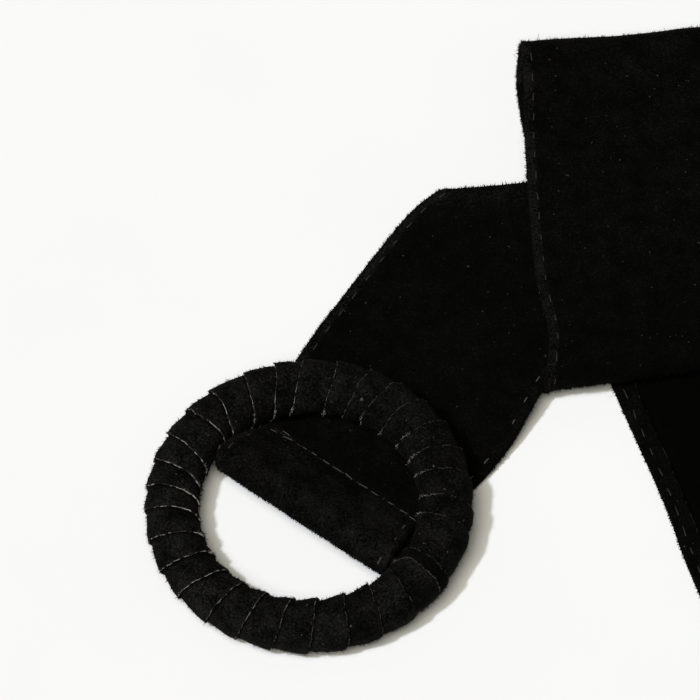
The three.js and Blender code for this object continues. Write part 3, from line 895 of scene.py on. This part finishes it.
# %% [markdown]
# ## Stitches
# A lockstitch shows as a short piece of thread that comes up out of the suede, lies on it and goes down
# again. Along the edges it is about 2.7 mm long, one every 5.1 mm. Across the loop the stitches nearly
# touch, and they are sewn twice at one end, where the seam starts.

# %% One stitch
STITCH_PITCH = 5.1


def stitch_shape():
    """A thread one unit long along X, arched, with both ends in the suede."""
    bm = bmesh.new()
    ring = bmesh.ops.create_circle(bm, segments=6, radius=0.5)["verts"]
    bmesh.ops.rotate(bm, verts=ring, cent=(0, 0, 0), matrix=Matrix.Rotation(math.pi / 2, 3, "Y"))
    bmesh.ops.translate(bm, verts=ring, vec=(-0.5, 0, 0))
    bmesh.ops.contextual_create(bm, geom=ring)
    edges = list(bm.edges)
    steps = 8
    for _ in range(steps):
        made = bmesh.ops.extrude_edge_only(bm, edges=edges)["geom"]
        verts = [item for item in made if isinstance(item, bmesh.types.BMVert)]
        edges = [item for item in made if isinstance(item, bmesh.types.BMEdge)]
        bmesh.ops.translate(bm, verts=verts, vec=(1 / steps, 0, 0))
    bmesh.ops.contextual_create(bm, geom=verts)
    for vert in bm.verts:
        across = 1 - 0.45 * (2 * abs(vert.co.x)) ** 4
        vert.co.y *= across
        vert.co.z = vert.co.z * across + 0.55 - 1.5 * (2 * abs(vert.co.x)) ** 3
    bmesh.ops.recalc_face_normals(bm, faces=bm.faces)
    return new_object("stitch_shape", new_mesh("stitch_shape", bm))


stitch = stitch_shape()
print("stitch:", len(stitch.data.polygons), "faces")


def sew(name, s, v, w, heading, length, thick, material, seed):
    """Stitches on the face, or on the back where w < 0. heading is their turn from the belt's run."""
    draw = random.Random(seed)
    point, along, side, up = belt_frame(s, v)
    face = np.where(np.reshape(w, (-1, 1)) > 0, up, -up)
    turns, lengths = heading + np.zeros(len(s)), length + np.zeros(len(s))
    sway = np.radians([turn + draw.gauss(0, 4) for turn in turns]).reshape(-1, 1)
    aim = along * np.cos(sway) + side * np.sin(sway)
    sizes = [(long * draw.uniform(0.8, 1.1), thick, thick * draw.uniform(0.8, 1.15)) for long in lengths]
    places = point + up * np.reshape(w, (-1, 1))
    scatter(name, stitch, places, turns_of(aim, face), sizes, material)


# %% The seams along the edges
EDGE_S = np.arange(-7, TIP_AT - 4, STITCH_PITCH)
LENGTH, THICK = 2.7, 0.25
ON_FACE, ON_BACK = HALF_THICK - 0.18, 0.05 - HALF_THICK
# Up to SUNK_UNTIL the thread is drawn deeper into the suede, and from UP_FROM on it lies on it
SUNK, SUNK_UNTIL, UP_FROM = 0.09, 180, 215
draw = random.Random(41)
for name, v, w, strand, seed in (
    ("left_stitches", STITCH_V, ON_FACE, thread, 83),
    # The right seam's paler thread is a painted highlight.
    ("right_stitches", -STITCH_V, ON_FACE, highlit_thread, 37),
    ("left_back_stitches", STITCH_V, ON_BACK, thread, 83),
    ("right_back_stitches", -STITCH_V, ON_BACK, thread, 37),
):
    s = EDGE_S + draw.uniform(0, STITCH_PITCH)
    s = s + np.array([draw.gauss(0, 0.15) for _ in s])
    sunk = np.interp(s, (SUNK_UNTIL, UP_FROM), (SUNK, 0)) * np.sign(w)
    sew(name, s, np.full(len(s), v), w - sunk, 0, LENGTH, THICK, strand, seed)

# %% The seams across the strap
# The seam of the loop is sewn back over itself at its left end. These places are real mm from the middle.
SEAM_S, SEAM_THICK = 11.2, 0.17
SEAM = table(
    "s v turn length",
    (11.1, -18.6, 88, 2.0), (11.3, -16, 90, 2.6), (11.3, -12.6, 92, 2.0), (11.2, -8.4, 90, 2.8),
    (11.2, -5.4, 92, 2.8), (11.3, -1.5, 88, 2.9), (11.2, 1.4, 91, 3.0), (11.2, 4.4, 90, 2.8),
    (11.3, 7.6, 89, 1.6), (11.2, 10, 90, 1.8), (10.9, 14.4, 97, 3.4), (10.5, 17.8, 98, 3.2),
    (12, 15.6, 87, 3.0),
)
seam_v = SEAM["v"] / half_share(SEAM["s"], SEAM["v"])
seam_w = seam_v * 0 + 1.05
# The loop seam's paler thread is a painted highlight.
sew("loop_stitches", SEAM["s"], seam_v, seam_w, SEAM["turn"], SEAM["length"], SEAM_THICK, highlit_thread, 71)
tip_v = np.arange(-20, 20.1, STITCH_PITCH)
sew("tip_stitches", tip_v * 0 + TIP_AT - 2.5, tip_v, tip_v * 0 + 1.12, 90, LENGTH, THICK, thread, 75)

# %% [markdown]
# ## Nap
# The buffed surface is a dense short pile of loose fibres. On the flat it only breaks up the light, but at
# every edge it makes a soft fuzzy outline. Each fibre is a thin three-sided spike, which is closed and has
# only four faces. The pile leans the way the suede was brushed, with every fibre a little different.


# %% One fibre
ROOT, OFF_SURFACE = 0.05, 0.05


def fibre_shape():
    """A spike about one unit wide and one high."""
    bm = bmesh.new()
    bmesh.ops.create_cone(bm, cap_ends=True, segments=3, radius1=0.5, radius2=0, depth=1)
    bmesh.ops.translate(bm, verts=bm.verts, vec=(0, 0, 0.5))
    return new_object("fibre_shape", new_mesh("fibre_shape", bm))


fibre = fibre_shape()
print("fibre:", len(fibre.data.polygons), "faces")


def fibres(name, points, normals, brushed, length, thick, spread, material, seed):
    """A pile of fibres that stand on the points and lean the brushed way, but never into the surface."""
    draw = np.random.default_rng(seed)
    loose = draw.normal(0, spread, points.shape)
    aims = normals * 0.8 + brushed + loose
    aims /= np.linalg.norm(aims, axis=1, keepdims=True)
    lengths = length * draw.uniform(0.5, 1.3, len(points))
    ends = points + aims * lengths[:, None]
    above = ends[:, 2] > OFF_SURFACE
    points, aims, lengths = points[above], aims[above], lengths[above]
    turns = [Vector(aim).to_track_quat("Z", "Y") for aim in aims]
    widths = thick * draw.uniform(0.7, 1.4, len(points))
    sizes = np.stack([widths, widths, lengths], -1)
    scatter(name, fibre, points - aims * ROOT, turns, sizes, material)


# %% Nap of the strap
def strap_fibres(name, s_ranges, v_range, density, length, thick, spread, seed):
    """Fibres on the strap, density to a square mm. v_range is in -1 to 1, round both edges and hems."""
    draw = np.random.default_rng(seed)
    low, high = np.interp(v_range, [-1, 1], [0, FLAT_T[-1]])
    parts = []
    for start, end in s_ranges:
        count = int((end - start) * (high - low) * density)
        parts.append(np.stack([draw.uniform(start, end, count), draw.uniform(low, high, count)], -1))
    stop, t = np.concatenate(parts).T
    v, w = np.interp(t, FLAT_T, OUT_V), np.interp(t, FLAT_T, OUT_W)
    s = leaning(stop, v)
    point, along, side, up = belt_frame(s, v)
    height = face_height(s, v, w)
    tilt = np.arctan2(w, np.sign(v) * np.maximum(np.abs(v) - ROUND_FROM, 0))
    normal = side * np.cos(tilt)[:, None] + up * np.sin(tilt)[:, None]
    place = point + up * height[:, None]
    fibres(name, place, normal, along * 0.35, length, thick, spread, nap_fibre, seed)


strap_fibres("face_nap", ((LOOP_END, 98), (150, 242)), (-0.83, 0.83), 2.6, 0.45, 0.05, 0.5, 81)
strap_fibres("left_edge_nap", ((2, 260),), (0.76, 0.9), 4.5, 0.65, 0.2, 0.7, 83)
strap_fibres("right_edge_nap", ((2, 420),), (-0.9, -0.76), 4, 0.65, 0.2, 0.7, 85)
strap_fibres("left_back_nap", ((240, 420),), (0.76, 1), 4.5, 0.6, 0.2, 0.7, 87)
strap_fibres("fold_nap", ((95, 101), (146, 157), (235, 244)), (-0.8, 0.8), 3.5, 0.75, 0.2, 0.6, 89)
strap_fibres("loop_nap", ((-8.5, -3),), (-0.8, 0.8), 8, 0.6, 0.14, 0.6, 98)
strap_fibres("loose_threads", ((233, 242), (268, 276), (310, 322)), (0.79, 0.9), 0.5, 2.2, 0.11, 0.9, 90)
strap_fibres("corner_threads", ((235, 241),), (0.45, 0.8), 0.5, 2, 0.12, 0.9, 97)

# %% Nap of the winding
WHOLE_STRIP, TONGUE = (0, TURNS), (LAST_TURN, LAST_TURN + 0.46)
SEEN, CUT = (0.02, 0.98), (0.975, 1.0)
EVERYWHERE, IN_CLUMPS = -9, 0.15


def on_strip(p, q):
    """Points on the strip, with the ways out of it and along the ring, each 1 mm long."""
    theta, phi, r = strip_surface(p, q)
    points = ring_place(theta, phi, r)
    around = ring_place(theta + 0.01, phi, r) - points
    around /= np.linalg.norm(around, axis=1, keepdims=True)
    return points, ring_place(theta, phi, r + 1) - points, around


def winding_fibres(name, turns, per_turn, q_range, length, thick, spread, material, seed, clumped):
    """Fibres on some turns, between two places across the strip. clumped from -1 to 1 leaves more gaps."""
    draw = np.random.default_rng(seed)
    count = round((turns[1] - turns[0]) * per_turn)
    p = draw.uniform(*turns, count)
    q = draw.uniform(*q_range, count)
    kept = waves(p * GIRTH, p * 0, 2.5, seed) > clumped
    points, outside, around = on_strip(p[kept], q[kept])
    fibres(name, points, outside, around * 0.5, length, thick, spread, material, seed)


winding_fibres("winding_nap", WHOLE_STRIP, 800, SEEN, 0.42, 0.05, 0.45, wound_fibre, 91, EVERYWHERE)
winding_fibres("winding_fuzz", WHOLE_STRIP, 240, SEEN, 0.8, 0.17, 0.7, nap_fibre, 92, EVERYWHERE)
winding_fibres("cut_edge_nap", WHOLE_STRIP, 150, CUT, 0.45, 0.09, 0.8, edge_fibre, 93, IN_CLUMPS)
winding_fibres("tongue_nap", TONGUE, 420, CUT, 0.32, 0.09, 0.8, edge_fibre, 99, EVERYWHERE)

# %% Frayed places
# Where a cut edge goes over the inner side of the ring it is rubbed, and some of its fibres stand out. A
# tuft is on an edge, at a part of its turn.
TUFTS = table(
    "edge part",
    (0, 0.44), (0, 0.37), (1, 0.46), (1, 0.38), (2, 0.47), (2, 0.36), (3, 0.49), (4, 0.48),
    (6, 0.5), (7, 0.48), (8, 0.46), (9, 0.44), (12, 0.46), (13, 0.4), (14, 0.36), (15, 0.02),
    (16, 0.41), (17, 0.42), (17, 0.0), (21, 0.4), (24, 0.42), (28, 0.42), (29, 0.33), (29, 0.4),
)


def frayed(name, per_tuft, length, material, seed):
    """Small tufts on the cut edge of the winding."""
    draw = np.random.default_rng(seed)
    p = np.repeat(TUFTS["edge"] + TUFTS["part"], per_tuft)
    p = p + draw.normal(0, 0.02, len(p))
    q = draw.uniform(0.96, 1, len(p))
    points, outside, _ = on_strip(p, q)
    fibres(name, points, outside, outside * 0, length, 0.075, 0.9, material, seed)


frayed("frayed_tufts", 14, 0.7, lint_fibre, 95)


def frayed_seam(name, per_mm_of_seam, length, material, seed):
    """Fine fibres that stand out of the loop's seam."""
    draw = np.random.default_rng(seed)
    v = draw.uniform(seam_v.min(), seam_v.max(), int(np.ptp(seam_v) * per_mm_of_seam))
    s = SEAM_S + draw.normal(0, 0.15, len(v))
    points, _, side, up = belt_frame(s, v)
    points = points + up * face_height(s, v, np.full(len(v), HALF_THICK))[:, None]
    fibres(name, points, up * 0.6, side * 0, length, 0.07, 0.7, material, seed)


frayed_seam("seam_lint", 4.5, 0.45, edge_fibre, 96)

# %% [markdown]
# ## Surface, light and camera
# The belt lies on a plain pale surface. One lamp stands high on the left and a little to the front. A broad
# and warmer one stands nearly behind the camera, where its own shadows hide, and fills those of the first.
# The camera looks down at 58 degrees through a long lens, from far enough away that the belt keeps nearly
# the same scale from its front to its back.

# %% The surface
SURFACE_METRES = 30
body = bmesh.new()
bmesh.ops.create_circle(body, cap_ends=True, segments=64, radius=SURFACE_METRES)
floor = new_object("pale_surface", new_mesh("pale_surface", body))
floor.data.materials.append(
    smooth_material("pale_surface", "#e8e8e8", "#ebebeb", 40, {"Roughness": 0.9, "Specular IOR Level": 0.1})
)
print("surface", 2 * SURFACE_METRES, "m wide")


# %% Light
def sun(name, source, energy, angle, colour):
    """A lamp far away in the direction of source. angle is how wide it looks, in degrees."""
    lamp = bpy.data.lights.new(name, "SUN")
    lamp.energy = energy
    lamp.angle = rad(angle)
    lamp.color = colour
    holder = new_object(name, lamp)
    holder.rotation_mode = "QUATERNION"
    holder.rotation_quaternion = Vector(source).to_track_quat("Z", "Y")


WARM = (1, 0.98, 0.85)
sun("studio_key", (-0.45, -0.36, 1), 2.04, 4, (0.86, 0.883, 1))
sun("broad_fill", (-0.18, -0.46, 1), 2.17, 34, WARM)

world = bpy.data.worlds.new("bright_room")
world.use_nodes = True
background = world.node_tree.nodes["Background"].inputs
background["Color"].default_value = (*WARM, 1)
background["Strength"].default_value = 0.06
bpy.context.scene.world = world
bpy.context.scene.view_settings.view_transform = "Standard"
print("lamps:", len(bpy.data.lights))

# %% Camera
# The photo's width in pixels, the size of one where the camera aims, and the pixel of the ring's middle
PIXELS = 700
PIXEL_MM = 0.2116
RING_PIXEL = (309.1, 505.6)
ELEVATION = 58.0
DISTANCE, RING_NEARER, SENSOR = 6500, 28, 36
level, steep = unit(ELEVATION)
view_down, view_up = Vector((0, -level, steep)), Vector((0, steep, level))
right_by = (PIXELS / 2 - RING_PIXEL[0]) * PIXEL_MM
up_by = (RING_PIXEL[1] - PIXELS / 2) * PIXEL_MM
aim = Vector((RING_X, RING_Y, RING_Z)) + Vector((right_by, 0, 0)) + view_up * up_by
aim -= view_down * RING_NEARER
lens = bpy.data.cameras.new("camera")
lens.sensor_width = SENSOR
lens.lens = SENSOR * DISTANCE / (PIXELS * PIXEL_MM)
lens.clip_start, lens.clip_end = 1, 60
camera = new_object("camera", lens)
camera.location = (aim + view_down * DISTANCE) * MM
camera.rotation_mode = "QUATERNION"
camera.rotation_quaternion = view_down.to_track_quat("Z", "Y")
bpy.context.scene.camera = camera
print("lens", round(lens.lens), "mm")

# %% [markdown]
# ## The end
# The strap, its backing and the wound strip were all cut flat. The shapes that were only copied are
# removed.

# %% Finish
for shape in (stitch, fibre):
    bpy.data.objects.remove(shape)
